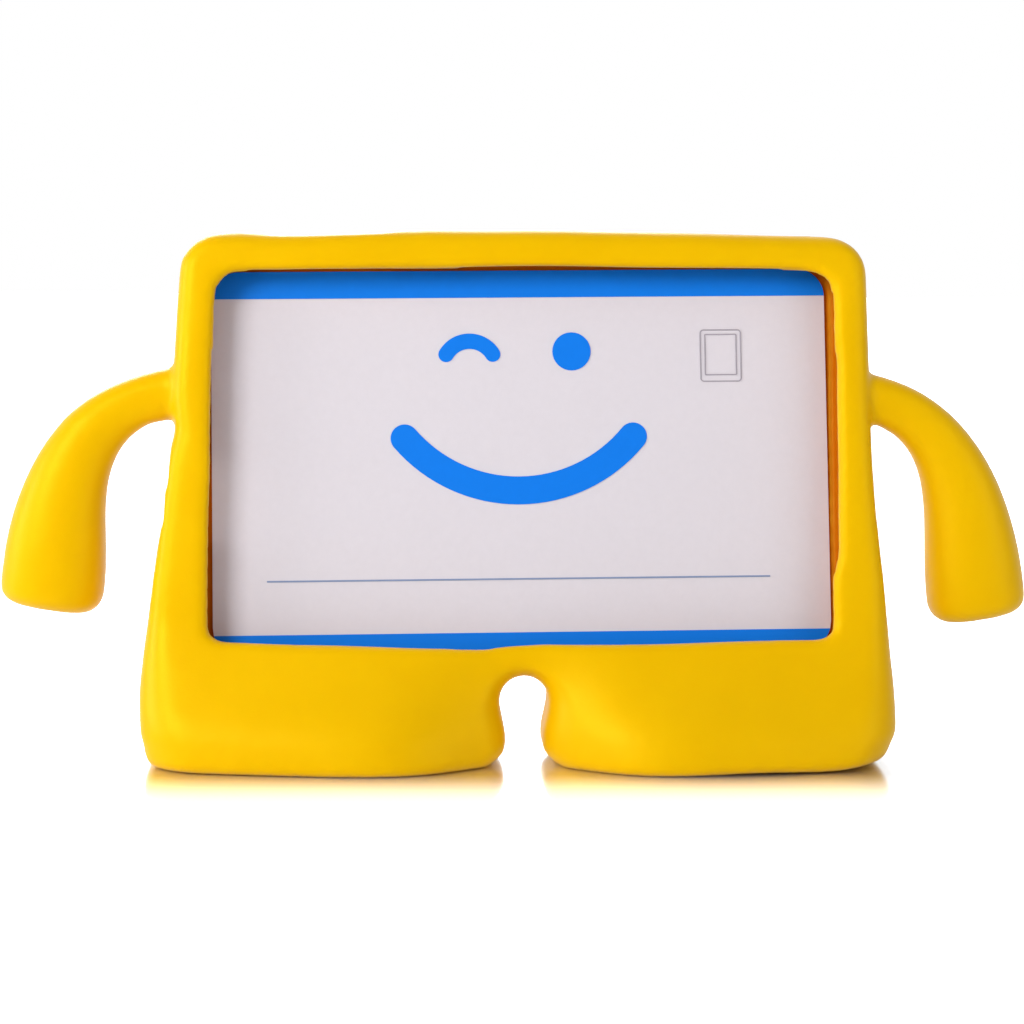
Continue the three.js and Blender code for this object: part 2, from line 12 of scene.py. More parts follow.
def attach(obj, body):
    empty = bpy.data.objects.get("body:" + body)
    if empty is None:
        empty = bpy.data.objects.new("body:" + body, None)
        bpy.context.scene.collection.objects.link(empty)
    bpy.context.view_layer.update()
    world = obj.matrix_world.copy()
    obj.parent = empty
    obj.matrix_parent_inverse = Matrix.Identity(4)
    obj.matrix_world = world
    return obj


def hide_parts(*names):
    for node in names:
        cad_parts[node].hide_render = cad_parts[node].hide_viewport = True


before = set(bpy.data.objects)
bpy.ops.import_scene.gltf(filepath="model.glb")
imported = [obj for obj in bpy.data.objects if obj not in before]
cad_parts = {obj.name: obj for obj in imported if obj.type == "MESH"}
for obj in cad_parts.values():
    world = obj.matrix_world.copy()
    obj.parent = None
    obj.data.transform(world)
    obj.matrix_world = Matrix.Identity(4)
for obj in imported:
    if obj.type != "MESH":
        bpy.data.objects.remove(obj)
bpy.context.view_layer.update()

# Camera: a long lens straight in front of the case, a little above it and turned by less than
# three degrees, as in the photograph.
AZIMUTH = radians(-2.763)
ELEVATION = radians(7.3)
ROLL = radians(0.498)
DISTANCE = 0.8
AIM = Vector((-0.002912, 0.0027, 0.074126))
FOCAL_LENGTH = 93.75
SENSOR_WIDTH = 36
NEAREST_SEEN = 0.05
camera_data = bpy.data.cameras.new("camera")
camera_data.lens = FOCAL_LENGTH
camera_data.sensor_width = SENSOR_WIDTH
camera_data.clip_start = NEAREST_SEEN
camera = bpy.data.objects.new("camera", camera_data)
bpy.context.scene.collection.objects.link(camera)
backwards = Vector((
    sin(AZIMUTH) * cos(ELEVATION),
    -cos(AZIMUTH) * cos(ELEVATION),
    sin(ELEVATION),
))
camera.location = AIM + DISTANCE * backwards
camera.rotation_mode = "QUATERNION"
camera.rotation_quaternion = backwards.to_track_quat("Z", "Y") @ Quaternion((0, 0, 1), ROLL)
bpy.context.scene.camera = camera
bpy.context.scene.view_settings.view_transform = "Standard"

# Body of the case: a slab of EVA foam that leans back and swells into two broad feet, moulded hot
# in one shot with the arms. It has no sharp edge anywhere.
MM = 0.001
X, Y, Z = range(3)
LEAN = radians(11.5)
LEAN_FOOT_Y = -8.4
THICKNESS = 19
SHOULDER_HALF = 103.4
BODY_TOP = 159.2
SIDE_EDGE_RADIUS = 4.8
TOP_EDGE_RADIUS = 6
SHOULDER_RADIUS = {-1: 12, 1: 11.5}
TOP_BOW = 1.6
TOP_BOW_FROM = 0.6
HIP_SPREAD = 10.4
HIP_CURVE = 1.4
HEM_HEIGHT = 10
HEM_BLEND = 8
HEM_EDGE_RADIUS = 14
SOLE_RADIUS = 3.2
FLANK_HEIGHT = 13
FLANK_INSET = {-1: 5.8, 1: 9.1}
WAIST = {"inset": 0.6, "at": 92, "reach": 22}
SIDE_DRIFT = 0.0112
DRIFT_MIDDLE = 70
DRIFT_FROM = 0.85
TOE = {"reach": 19, "height": 43, "fullness": 1.4, "crown": 12, "hollow": 1}
HEEL = {"reach": 22, "height": 62, "fullness": 1.6, "crown": 7, "hollow": 0.6}
FEET_FILL_OVER = 25
CROWN_CURVE = 1.8
HALF_LEAST_FLAT = 0.2
FINE_SPACING = 2.5
SIDE_SPACING = 5
WALL_SPACING = 6
FINE_HALF = 60
CUT_HALF = 97
CORNER_SEGMENTS = 8
SOLE_STEPS = 6
SHOULDER_STEPS = 10


def smoothstep(value, low, high):
    share = min(max((value - low) / (high - low), 0), 1)
    return share * share * (3 - 2 * share)


def lerp(a, b, share):
    return a + (b - a) * share


def bump(value, middle, reach):
    return exp(-(((value - middle) / reach) ** 2))


def rounded_inset(radius, distance):
    """How far a round edge is drawn in, at this distance from the face that it ends in."""
    left = min(max(radius - distance, 0), radius)
    return radius - sqrt(radius * radius - left * left)


def arc_steps(radius, steps):
    return [radius * (1 - cos(pi / 2 * i / steps)) for i in range(steps + 1)]


def place(x, depth, along, tilt=LEAN):
    """From the leaning body's own measures to the frame's."""
    share = smoothstep(along, BODY_TOP * TOP_BOW_FROM, BODY_TOP)
    up = along + TOP_BOW * share * max(0, 1 - (x / SHOULDER_HALF) ** 2)
    return Vector((
        x,
        LEAN_FOOT_Y + up * sin(LEAN) + depth * cos(tilt),
        up * cos(LEAN) - depth * sin(tilt),
    ))


def above_hem(along):
    """The height itself, or the hem's for all below it, with a soft change from one to the other."""
    if along > HEM_HEIGHT + HEM_BLEND:
        return along
    return HEM_HEIGHT + max(0, along - HEM_HEIGHT + HEM_BLEND) ** 2 / (4 * HEM_BLEND)


def hem_share(form, along):
    def left(height):
        return max(0, 1 - height / form["height"]) ** form["fullness"]

    return left(above_hem(along)) / left(HEM_HEIGHT)


def half_width(along):
    down = min(max((BODY_TOP - along) / (BODY_TOP - HEM_HEIGHT), 0), 1)
    return SHOULDER_HALF + HIP_SPREAD * down**HIP_CURVE


def skin(x, along):
    """Depths of the front and back skin from the middle plane of the slab."""
    reach = []
    for form in (TOE, HEEL):
        filled = 1 - form["hollow"] * exp(-((x / FEET_FILL_OVER) ** 2))
        corner = form["crown"] * abs(x / half_width(along)) ** CROWN_CURVE
        reach.append((form["reach"] * filled - corner) * hem_share(form, along))
    upright = (above_hem(along) - along) * sin(LEAN)
    return -THICKNESS / 2 - reach[0] + upright, THICKNESS / 2 + reach[1] + upright


def stretched(value, old_half, half, old_radius, radius):
    """Moves a side of a rounded rectangle, and gives its corner another radius."""
    side = abs(value)
    if side <= old_half - old_radius:
        side *= (half - radius) / (old_half - old_radius)
    else:
        side = half - radius + (side - old_half + old_radius) * radius / old_radius
    return copysign(side, value)


def on_body(x, depth, along):
    """Takes a point of the plain rounded slab to its place on the moulded body."""
    from_top = BODY_TOP - along
    sole = rounded_inset(SOLE_RADIUS, along)
    edge = sole + rounded_inset(TOP_EDGE_RADIUS, from_top)
    side = 1 if x > 0 else -1
    flank = FLANK_INSET[side] * rounded_inset(1, along / FLANK_HEIGHT)
    waist = WAIST["inset"] * bump(along, WAIST["at"], WAIST["reach"])
    half = half_width(along) - flank - waist - rounded_inset(SHOULDER_RADIUS[side], from_top)
    front = THICKNESS / 2 + TOE["reach"] * hem_share(TOE, along) - edge
    back = THICKNESS / 2 + HEEL["reach"] * hem_share(HEEL, along) - edge
    half_depth = (front + back) / 2
    radius = lerp(SIDE_EDGE_RADIUS, HEM_EDGE_RADIUS, hem_share(HEEL, along))
    radius = min(radius, half_depth - HALF_LEAST_FLAT)
    x = stretched(x, SHOULDER_HALF, half, SIDE_EDGE_RADIUS, radius)
    depth = stretched(depth, THICKNESS / 2, half_depth, SIDE_EDGE_RADIUS, radius)
    skin_front, skin_back = skin(x, along)
    share = (depth / half_depth + 1) / 2
    tilt = LEAN * smoothstep(along, HEM_HEIGHT, HEEL["height"])
    drift = SIDE_DRIFT * (along - DRIFT_MIDDLE) * smoothstep(abs(x), DRIFT_FROM * half, half)
    return place(x + drift, lerp(skin_front + edge, skin_back - edge, share), along, tilt)


def block(low, high, corner, corner_axis):
    """A box in the body's own measures, with the four edges along one axis made round."""
    bm = bmesh.new()
    bmesh.ops.create_cube(bm, size=1)
    size = Vector(high) - Vector(low)
    bmesh.ops.scale(bm, vec=size, verts=bm.verts)
    bmesh.ops.translate(bm, vec=(Vector(high) + Vector(low)) / 2, verts=bm.verts)
    edges = [
        edge
        for edge in bm.edges
        if abs((edge.verts[1].co - edge.verts[0].co)[corner_axis]) > size[corner_axis] / 2
    ]
    bmesh.ops.bevel(
        bm,
        geom=edges,
        offset=corner,
        segments=CORNER_SEGMENTS,
        affect="EDGES",
        profile=0.5,
        material=-1,
    )
    return bm


def cut_across(bm, axis, places):
    normal = Vector((0, 0, 0))
    normal[axis] = 1
    for at in places:
        geometry = bm.verts[:] + bm.edges[:] + bm.faces[:]
        bmesh.ops.bisect_plane(bm, geom=geometry, plane_co=normal * at, plane_no=normal)


def spread(low, high, spacing):
    count = max(1, round((high - low) / spacing))
    return [lerp(low, high, i / count) for i in range(1, count)]


def as_object(name, bm):
    bmesh.ops.recalc_face_normals(bm, faces=bm.faces)
    bmesh.ops.scale(bm, vec=Vector((MM, MM, MM)), verts=bm.verts)
    mesh = bpy.data.meshes.new(name)
    bm.to_mesh(mesh)
    bm.free()
    piece = bpy.data.objects.new(name, mesh)
    bpy.context.scene.collection.objects.link(piece)
    return piece


slab = block(
    (-SHOULDER_HALF, -THICKNESS / 2, 0),
    (SHOULDER_HALF, THICKNESS / 2, BODY_TOP),
    SIDE_EDGE_RADIUS,
    Z,
)
cut_across(slab, X, spread(-FINE_HALF, FINE_HALF, FINE_SPACING))
cut_across(slab, X, spread(-CUT_HALF, -FINE_HALF, SIDE_SPACING))
cut_across(slab, X, spread(FINE_HALF, CUT_HALF, SIDE_SPACING) + [-FINE_HALF, FINE_HALF])
cut_across(slab, Z, arc_steps(SOLE_RADIUS, SOLE_STEPS)[1:] + [HEM_HEIGHT])
cut_across(slab, Z, spread(HEM_HEIGHT, HEEL["height"], FINE_SPACING) + [HEEL["height"]])
shoulder_from = BODY_TOP - SHOULDER_RADIUS[-1]
cut_across(slab, Z, spread(HEEL["height"], shoulder_from, WALL_SPACING))
shoulder = arc_steps(SHOULDER_RADIUS[-1], SHOULDER_STEPS)[1:]
cut_across(slab, Z, [BODY_TOP - step for step in shoulder])
for vert in slab.verts:
    vert.co = on_body(*vert.co)
foam_case = as_object("foam_case", slab)

# Arms: two solid foam arms that leave the sides level, turn down and widen into blunt hands. A
# child carries the case by them. They are soft, so no two hang quite alike.
ARMS = {
    -1: {"height": 109.1, "reach": 141.9, "wrist": 43.9, "root_half": 7.5, "hand_half": 15.4},
    1: {"height": 108.9, "reach": 140.9, "wrist": 41.1, "root_half": 7.2, "hand_half": 14.7},
}
ARM_BEND = {
    -1: {"out": 37, "drop": 5.2, "lean": 3.2, "rise": 19.9},
    1: {"out": 35.4, "drop": 7.1, "lean": 3.5, "rise": 19.6},
}
ARM_ROOT_DEPTH = 5.8
ARM_HAND_DEPTH = 13
ARM_END_RADIUS = 5.6
ARM_SUNK = 3
ARM_SWING = -2
ARM_SQUARENESS = 2.35
ARM_WIDENS_FROM = 0.09
ARM_WIDENS_TO = 0.9
ARM_STATIONS = 30
ARM_SIDES = 48
ARM_LINE_POINTS = 200
ARM_END_STEPS = 8


def arm_middle_line(size, bend):
    root = half_width(size["height"] / cos(LEAN))
    root_y = LEAN_FOOT_Y + size["height"] * tan(LEAN)
    hand_y = root_y + ARM_SWING
    return interpolate_bezier(
        Vector((root - ARM_SUNK, root_y, size["height"])),
        Vector((root + bend["out"], root_y, size["height"] - bend["drop"])),
        Vector((size["reach"] - bend["lean"], hand_y, size["wrist"] + bend["rise"])),
        Vector((size["reach"], hand_y, size["wrist"])),
        ARM_LINE_POINTS,
    )


def on_line(line, lengths, at):
    """The point of a line at this length from its start, and the line's direction there."""
    for i, length in enumerate(lengths[1:]):
        if length >= at or i == len(lengths) - 2:
            share = (at - lengths[i]) / (length - lengths[i])
            return line[i].lerp(line[i + 1], share), (line[i + 1] - line[i]).normalized()


for side, size in ARMS.items():
    line = arm_middle_line(size, ARM_BEND[side])
    lengths = [0]
    for start, end in zip(line, line[1:]):
        lengths.append(lengths[-1] + (end - start).length)
    arm_length = lengths[-1]
    arm = bmesh.new()
    bmesh.ops.create_cone(
        arm, cap_ends=True, segments=ARM_SIDES, radius1=1, radius2=1, depth=arm_length
    )
    bmesh.ops.translate(arm, vec=(0, 0, arm_length / 2), verts=arm.verts)
    cut_across(arm, Z, spread(0, arm_length - ARM_END_RADIUS, arm_length / ARM_STATIONS))
    rounding = arc_steps(ARM_END_RADIUS, ARM_END_STEPS)[1:]
    cut_across(arm, Z, [arm_length - step for step in rounding])
    for vert in arm.verts:
        centre, direction = on_line(line, lengths, vert.co.z)
        across = Vector((0, 1, 0)).cross(direction).normalized()
        widen = smoothstep(vert.co.z / arm_length, ARM_WIDENS_FROM, ARM_WIDENS_TO)
        inset = rounded_inset(ARM_END_RADIUS, arm_length - vert.co.z)
        wide, deep = (
            (lerp(root, hand, widen) - inset)
            * copysign(abs(share) ** (2 / ARM_SQUARENESS), share)
            for root, hand, share in (
                (size["root_half"], size["hand_half"], vert.co.x),
                (ARM_ROOT_DEPTH, ARM_HAND_DEPTH, vert.co.y),
            )
        )
        point = centre + across * wide
        vert.co = (side * point.x, point.y + deep, point.z)
    arm_object = as_object("arm", arm)
    union = foam_case.modifiers.new("arm", "BOOLEAN")
    union.operation = "UNION"
    union.solver = "MANIFOLD"
    union.object = arm_object

# Openings of the case: the pocket, the window in the front lip, the gap between the feet, and the
# holes for the plug, the buttons and the camera. The mould leaves them all with round mouths.
POCKET_LOW = (-96.5, -5.5, 31.5)
POCKET_HIGH = (96.5, 4.5, 151.4)
POCKET_CORNER = 9
POCKET_SPACING = 8


def cut_from_case(name, bm):
    tool = as_object(name, bm)
    cut = foam_case.modifiers.new(name, "BOOLEAN")
    cut.operation = "DIFFERENCE"
    cut.solver = "MANIFOLD"
    cut.object = tool


pocket = block(POCKET_LOW, POCKET_HIGH, POCKET_CORNER, Y)
cut_across(pocket, X, spread(POCKET_LOW[X], POCKET_HIGH[X], POCKET_SPACING))
for vert in pocket.verts:
    vert.co = place(*vert.co)
cut_from_case("pocket", pocket)

# The window. Its four sides are straight as moulded, and the values after its own sizes say how far
# the soft lip gives way. A pair is the stretch over which a change sets in.
WINDOW_HALF = 92.5
WINDOW_LOW = 34.4
WINDOW_HIGH = 147
WINDOW_CORNER = 4.5
WINDOW_REACH_IN = 8
WINDOW_SPACING = 3
LIP_EDGE_RADIUS = 2.6
LIP_EDGE_STEPS = 6
LIP_SIDE_HEIGHT = 20
RIGHT_SLACK = {"all": 0.6, "middle": 2, "top": 0.9, "middle_from": (54, 63), "top_from": (119, 130)}
LEFT_SLACK = {"low": 0.8, "low_to": (70, 90), "top": -0.5, "top_from": (115, 140)}
SAG = {"depth": 1.15, "at": -13, "reach_left": 30, "reach_right": 8}
LIFT = {"all": 0.5, "over_gap": 0.4, "right": 1.7, "left": 0.7}
LIFT_OVER_GAP = (6.5, 6)
LIFT_RIGHT_FROM = (25, 95)
LIFT_LEFT_FROM = (66, 90)
TOP_CLIMB = 0.008
TOP_CORNER = {"by": 1.1, "reach": 6}


def soft_window(x, along):
    """The window's outline as the soft lip gives way: the right side bulges between two heights,
    and the lower edge sags left of the gap, stands up over it and climbs to the right."""
    right = smoothstep(x, WINDOW_HALF - WINDOW_CORNER, WINDOW_HALF)
    left = smoothstep(-x, WINDOW_HALF - WINDOW_CORNER, WINDOW_HALF)
    low = 1 - smoothstep(along, WINDOW_LOW, WINDOW_LOW + LIP_SIDE_HEIGHT)
    high = smoothstep(along, WINDOW_HIGH - LIP_SIDE_HEIGHT, WINDOW_HIGH)
    sag_reach = SAG["reach_left"] if x < SAG["at"] else SAG["reach_right"]
    sag = SAG["depth"] * bump(x, SAG["at"], sag_reach)
    lifted = (
        LIFT["all"]
        + LIFT["over_gap"] * bump(x, *LIFT_OVER_GAP)
        + LIFT["right"] * smoothstep(x, *LIFT_RIGHT_FROM)
        + LIFT["left"] * smoothstep(-x, *LIFT_LEFT_FROM)
    )
    top = smoothstep(along, *RIGHT_SLACK["top_from"])
    bulge = smoothstep(along, *RIGHT_SLACK["middle_from"]) - top
    slack = RIGHT_SLACK["all"] + RIGHT_SLACK["middle"] * bulge + RIGHT_SLACK["top"] * top
    spread_out = LEFT_SLACK["low"] * (1 - smoothstep(along, *LEFT_SLACK["low_to"]))
    spread_out += LEFT_SLACK["top"] * smoothstep(along, *LEFT_SLACK["top_from"])
    to_top_corner = hypot(WINDOW_HALF - abs(x), WINDOW_HIGH - along)
    rounder = TOP_CORNER["by"] * bump(to_top_corner, 0, TOP_CORNER["reach"])
    aside = right * slack - left * spread_out - copysign(rounder, x)
    return x + aside, along + low * (lifted - sag) + high * TOP_CLIMB * x - rounder


window = block(
    (-WINDOW_HALF, -TOE["reach"], WINDOW_LOW),
    (WINDOW_HALF, WINDOW_REACH_IN, WINDOW_HIGH),
    WINDOW_CORNER,
    Y,
)
cut_across(window, X, spread(-WINDOW_HALF, WINDOW_HALF, WINDOW_SPACING))
cut_across(window, Z, spread(WINDOW_LOW, WINDOW_HIGH, WINDOW_SPACING))
cut_across(window, Y, arc_steps(LIP_EDGE_RADIUS, LIP_EDGE_STEPS))
for vert in window.verts:
    x, inwards, along = vert.co
    corner_x = min(max(x, WINDOW_CORNER - WINDOW_HALF), WINDOW_HALF - WINDOW_CORNER)
    corner_along = min(max(along, WINDOW_LOW + WINDOW_CORNER), WINDOW_HIGH - WINDOW_CORNER)
    flare = rounded_inset(LIP_EDGE_RADIUS, inwards) / WINDOW_CORNER
    soft_x, soft_along = soft_window(x, along)
    soft_x += (x - corner_x) * flare
    soft_along += (along - corner_along) * flare
    front, _ = skin(soft_x, soft_along)
    vert.co = place(soft_x, front + inwards, soft_along)
cut_from_case("window", window)

# The gap between the feet: a narrow neck above the flared hem, and a round arch on top. It lies a
# little to the right of the middle, and the edges of both its mouths are round.
GAP_TOP = 25.8
GAP_SHOULDER = 19
GAP_HALF = 7.25
GAP_NECK_HALF = 5.5
GAP_NECK_HEIGHT = 7.5
GAP_HEM_RADIUS = 5.5
GAP_HEM_CURVE = 2.2
GAP_CROWN_HALF = 0.4
GAP_OFFSET = 0.7
GAP_EDGE_RADIUS = 7
GAP_SPACING = 1.2
GAP_ARCH_STEPS = 12
GAP_EDGE_STEPS = 8
GAP_OVERSHOOT = 5


def gap_half_width(height):
    """Half the gap's width: flared at the hem, narrow at the neck, then widening to its arch."""
    if height >= GAP_SHOULDER:
        rise = min((height - GAP_SHOULDER) / (GAP_TOP - GAP_SHOULDER), 1)
        return max(GAP_HALF * sqrt(1 - rise * rise), GAP_CROWN_HALF)
    neck = lerp(GAP_NECK_HALF, GAP_HALF, smoothstep(height, GAP_NECK_HEIGHT, GAP_SHOULDER))
    above_sole = max(height, 0) / GAP_HEM_RADIUS
    return neck + GAP_HEM_RADIUS * max(0, 1 - above_sole) ** GAP_HEM_CURVE


# A block that runs from 1 in front to 1 behind. Its outer fifths stand clear of the skins, and the
# next shares are the two mouths.
GAP_CLEAR = 0.8
GAP_MOUTH = 0.3
gap = bmesh.new()
bmesh.ops.create_cube(gap, size=2)
bmesh.ops.scale(gap, vec=(1, 1, (GAP_TOP + SOLE_RADIUS) / 2), verts=gap.verts)
bmesh.ops.translate(gap, vec=(0, 0, (GAP_TOP - SOLE_RADIUS) / 2), verts=gap.verts)
cut_across(gap, Z, spread(-SOLE_RADIUS, GAP_SHOULDER, GAP_SPACING) + [GAP_SHOULDER])
arch = arc_steps(GAP_TOP - GAP_SHOULDER, GAP_ARCH_STEPS)[1:-1]
cut_across(gap, Z, [GAP_TOP - step for step in arch])
edge_steps = arc_steps(GAP_EDGE_RADIUS, GAP_EDGE_STEPS)
mouth = [GAP_MOUTH * step / GAP_EDGE_RADIUS for step in edge_steps]
cut_across(gap, Y, [step - GAP_CLEAR for step in mouth] + [GAP_CLEAR - step for step in mouth])
for vert in gap.verts:
    side, through, height = vert.co
    along = max(height, 0) / cos(LEAN)
    inwards = (GAP_CLEAR - abs(through)) / GAP_MOUTH * GAP_EDGE_RADIUS
    flare = rounded_inset(GAP_EDGE_RADIUS, inwards)
    slope = gap_half_width(height) - gap_half_width(height - 1) if height > GAP_SHOULDER else 0
    x = copysign(gap_half_width(height) + flare / hypot(1, slope), side)
    z = height - flare * slope / hypot(1, slope)
    front, back = skin(x, along)
    if inwards > GAP_EDGE_RADIUS:
        inwards = GAP_EDGE_RADIUS
    elif inwards < 0:
        inwards *= GAP_OVERSHOOT
    depth = front + inwards if through < 0 else back - inwards
    vert.co = (x + GAP_OFFSET, LEAN_FOOT_Y + along * sin(LEAN) + depth, z)
cut_from_case("gap", gap)

# The holes are plain slots with half-round ends: one for the plug in the left wall, one for the
# buttons in the top wall, and a round one for the camera in the back wall.
PLUG_SLOT = {"low": (-120, -5, 66.5), "high": (-85, 4, 92.5), "corner": 4.45}
BUTTON_SLOT = {"low": (-79, -4.5, 140), "high": (-38, 3.5, 170), "corner": 3.95}
CAMERA_HOLE_RADIUS = 6
CAMERA_HOLE_DEPTH = 10
CAMERA_HOLE_SEGMENTS = 32
CAMERA_HOLE_AT = (-84, 7, 91.45)
plug_slot = block(**PLUG_SLOT, corner_axis=X)
button_slot = block(**BUTTON_SLOT, corner_axis=Z)
camera_hole = bmesh.new()
bmesh.ops.create_cone(
    camera_hole,
    cap_ends=True,
    segments=CAMERA_HOLE_SEGMENTS,
    radius1=CAMERA_HOLE_RADIUS,
    radius2=CAMERA_HOLE_RADIUS,
    depth=CAMERA_HOLE_DEPTH,
)
quarter_turn = Quaternion((1, 0, 0), pi / 2).to_matrix()
bmesh.ops.rotate(camera_hole, matrix=quarter_turn, verts=camera_hole.verts)
bmesh.ops.translate(camera_hole, vec=CAMERA_HOLE_AT, verts=camera_hole.verts)
for name, hole in (("plug", plug_slot), ("buttons", button_slot), ("camera", camera_hole)):
    for vert in hole.verts:
        vert.co = place(*vert.co)
    cut_from_case(name, hole)

# The moulded foam is soft: its skin is one even surface, which sags where a slot weakens it and is
# nowhere quite straight.
VOXEL = 1.2 * MM
SMOOTHING_PASSES = 4
SLUMPING_PASSES = 8
SMOOTHING_SHARE = 0.5
PLUG_STRIP = {"left_of": -0.1, "above": 0.056, "below": 0.1}
BUTTON_STRIP = {"left_of": -0.03, "above": 0.15}
foam_case.modifiers.new("skin", "REMESH").mode = "VOXEL"
foam_case.modifiers["skin"].voxel_size = VOXEL
evaluated = foam_case.evaluated_get(bpy.context.evaluated_depsgraph_get())
skin_mesh = bpy.data.meshes.new_from_object(evaluated)
tools = [modifier.object for modifier in foam_case.modifiers if modifier.type == "BOOLEAN"]
foam_case.modifiers.clear()
foam_case.data = skin_mesh
for tool in tools:
    bpy.data.objects.remove(tool)
bm = bmesh.new()
bm.from_mesh(skin_mesh)


def beside_slot(at):
    if at.x < PLUG_STRIP["left_of"] and PLUG_STRIP["above"] < at.z < PLUG_STRIP["below"]:
        return True
    return at.x < BUTTON_STRIP["left_of"] and at.z > BUTTON_STRIP["above"]


# The narrow strips of foam beside the slots slump into one soft line.
slumped = [vert for vert in bm.verts if beside_slot(vert.co)]
for passes, verts in ((SMOOTHING_PASSES, bm.verts), (SLUMPING_PASSES, slumped)):
    for _ in range(passes):
        bmesh.ops.smooth_vert(
            bm,
            verts=verts,
            factor=SMOOTHING_SHARE,
            use_axis_x=True,
            use_axis_y=True,
            use_axis_z=True,
        )

# How the soft foam departs from its moulded shape. A pair is the stretch over which a change sets
# in, or ends.
WAVE_LENGTHS = (34, 30, 26)
WAVE_HEIGHT = 0.35
WAVES_FROM = (0, 20)
# The waves have a fixed seed, so that the foam comes out the same in each run.
WAVE_SEED = 1
noise.seed_set(WAVE_SEED)
# The top bar drops at the left end of the slot for the buttons and recovers along it.
BAR_FROM = (138, 145)
BAR_ABOVE_LIP = (146, 154)
BAR_LIP_SHARE = 0.35
BAR_DROP = {"slot": 0.7, "corner": 0.5, "whole": 0.5}
BAR_SLOT_FROM = (-88, -70)
BAR_SLOT_TO = (-70, -38)
BAR_CORNER_FROM = (60, 88)
BAR_CROWN = (146, 153)
BAR_CROWN_FROM = (-95, -70)
# The side walls. Each row has the side, how far the wall moves to the right, the height where it
# moves most, the reach up and down, and where across the case the change sets in and ends. The left
# wall draws in above the slot for the plug, and both feet draw in a little above the hem. The right
# wall draws in halfway up, and the left one swells over its foot.
PAST_WALLS = (200, 201)
WALL_MOVES = (
    (-1, 1.5, 99, 7, (94, 103), (108, 112)),
    (-1, 1.4, 8, 9.5, (95, 108), PAST_WALLS),
    (1, -1.0, 8, 9.5, (95, 108), PAST_WALLS),
    (1, -0.6, 75, 25, (95, 108), (112, 114)),
    (-1, -0.5, 32, 14, (95, 108), PAST_WALLS),
)
# The right toe's outer corner doesn't quite reach the floor.
TOE_LIFT = 1.3
TOE_CORNER_FROM = (84, 110)
TOE_BESIDE = {"share": 0.5, "at": 70, "reach": 20}
TOE_FRONT_FROM = (5, 20)
TOE_LOW_TO = (2, 14)


def softened(point):
    """Where a point of the plain skin lies on the soft foam, all in millimetres."""
    x, y, z = point
    wave_at = Vector((x / WAVE_LENGTHS[X], y / WAVE_LENGTHS[Y], z / WAVE_LENGTHS[Z]))
    wave = noise.noise_vector(wave_at)
    moved = Vector((x, y, z)) + WAVE_HEIGHT * wave * smoothstep(z, *WAVES_FROM)
    bar = smoothstep(z, *BAR_FROM) * lerp(BAR_LIP_SHARE, 1, smoothstep(z, *BAR_ABOVE_LIP))
    slot = smoothstep(x, *BAR_SLOT_FROM) * (1 - smoothstep(x, *BAR_SLOT_TO))
    corner = smoothstep(-x, *BAR_CORNER_FROM)
    moved.z -= bar * (BAR_DROP["slot"] * slot + BAR_DROP["corner"] * corner)
    moved.z -= BAR_DROP["whole"] * smoothstep(z, *BAR_CROWN) * smoothstep(x, *BAR_CROWN_FROM)
    for side, by, at, reach, sets_in, ends in WALL_MOVES:
        aside = side * x
        share = 1 - smoothstep(aside, *ends)
        moved.x += by * bump(z, at, reach) * smoothstep(aside, *sets_in) * share
    toe = smoothstep(x, *TOE_CORNER_FROM)
    toe += TOE_BESIDE["share"] * bump(x, TOE_BESIDE["at"], TOE_BESIDE["reach"])
    front = smoothstep(-y, *TOE_FRONT_FROM)
    moved.z += TOE_LIFT * toe * front * (1 - smoothstep(z, *TOE_LOW_TO))
    return moved


WALL_MARGIN = 2
BACK_WALL_MIDDLE = 6
SHADE_FROM = (POCKET_LOW[Y] - 1.5, POCKET_LOW[Y] + 0.5)


def pocket_shade_mask(point):
    """Mask of the painted pocket shade: 1 on the walls of the pocket and 0 on the outer skin, with a
    soft change in the window.
    """
    x, y, z = point
    depth = (y - LEAN_FOOT_Y) * cos(LEAN) - z * sin(LEAN)
    along = (y - LEAN_FOOT_Y) * sin(LEAN) + z * cos(LEAN)
    if abs(x) >= POCKET_HIGH[X] + WALL_MARGIN or depth >= BACK_WALL_MIDDLE:
        return 0
    if not POCKET_LOW[Z] - WALL_MARGIN < along < POCKET_HIGH[Z] + WALL_MARGIN:
        return 0
    return smoothstep(depth, *SHADE_FROM)


# Painted shade: each vertex keeps its share of the pocket's deep orange, which the foam material
# reads.
pocket_shade = bm.verts.layers.float.new("pocket_shade")
for vert in bm.verts:
    vert[pocket_shade] = pocket_shade_mask(vert.co / MM)
    vert.co = softened(vert.co / MM) * MM
    vert.co.z = max(vert.co.z, 0)
bm.to_mesh(skin_mesh)
bm.free()
skin_mesh.shade_smooth()


def add_node(tree, kind, inputs=(), **settings):
    """Adds a node with its settings, and with each input a value or the output it is linked to."""
    node = tree.nodes.new(kind)
    for name, value in settings.items():
        setattr(node, name, value)
    for name, value in dict(inputs).items():
        if isinstance(value, bpy.types.NodeSocket):
            tree.links.new(value, node.inputs[name])
        else:
            node.inputs[name].default_value = value
    return node


def colour(code):
    """An sRGB hex colour as linear RGBA."""
    linear = []
    for i in (1, 3, 5):
        part = int(code[i : i + 2], 16) / 255
        linear.append(part / 12.92 if part <= 0.04045 else ((part + 0.055) / 1.055) ** 2.4)
    return linear + [1]


def new_material(name):
    material = bpy.data.materials.new(name)
    material.use_nodes = True
    material.node_tree.nodes.clear()
    return material, material.node_tree


# A Mix node's sockets for colours, which share their names with those for numbers.
MIX_A = 6
MIX_B = 7
MIX_RESULT = 2

